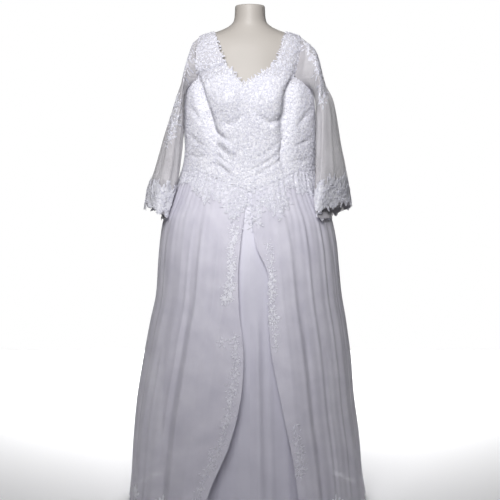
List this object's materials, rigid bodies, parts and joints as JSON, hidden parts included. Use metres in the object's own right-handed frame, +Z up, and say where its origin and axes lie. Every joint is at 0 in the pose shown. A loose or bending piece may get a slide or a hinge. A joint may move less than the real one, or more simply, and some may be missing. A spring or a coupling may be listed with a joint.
{
  "type": "wedding dress on a limbless dress form",
  "caption": "White plus-size wedding dress with a V neck, sheer sleeves, lace bodice and open net overskirt, on a headless armless dress form with a round stand.",
  "frame": {"origin": "centre of the underside of the stand's round base, on the floor", "axes": "+Z up along the stand, -Y towards the front of the dress, +X towards the wearer's left arm"},
  "size_m": [0.811, 0.7698, 1.659],
  "materials": {
    "form": "gloss",
    "stand": "satin",
    "satin": "satin",
    "net": "matte",
    "lace": "matte"
  },
  "bodies": {
    "root": {"form_torso": "form", "stand_pole": "stand", "stand_base": "stand", "bodice_centre_front": "satin", "bodice_side_front_left": "satin", "bodice_side_front_right": "satin", "bodice_back_left": "satin", "bodice_back_right": "satin", "back_placket": "satin", "shoulder_strap_left": "lace", "shoulder_strap_right": "lace", "sleeve_left": "net", "sleeve_right": "net", "underskirt": "satin", "overskirt": "net", "basque_lace_left": "lace", "basque_lace_right": "lace", "lace_trail_upper_left": "lace", "lace_trail_lower_left": "lace", "lace_trail_upper_right": "lace", "lace_trail_lower_right": "lace", "hem_sprig_outer_left": "lace", "hem_sprig_inner_left": "lace", "hem_sprig_right": "lace", "hem_sprig_back": "lace", "sleeve_cap_lace_left": "lace", "sleeve_cap_lace_right": "lace", "sleeve_arm_lace_left": "lace", "sleeve_arm_lace_right": "lace", "sleeve_cuff_lace_left": "lace", "sleeve_cuff_lace_right": "lace"}
  },
  "joints": []
}
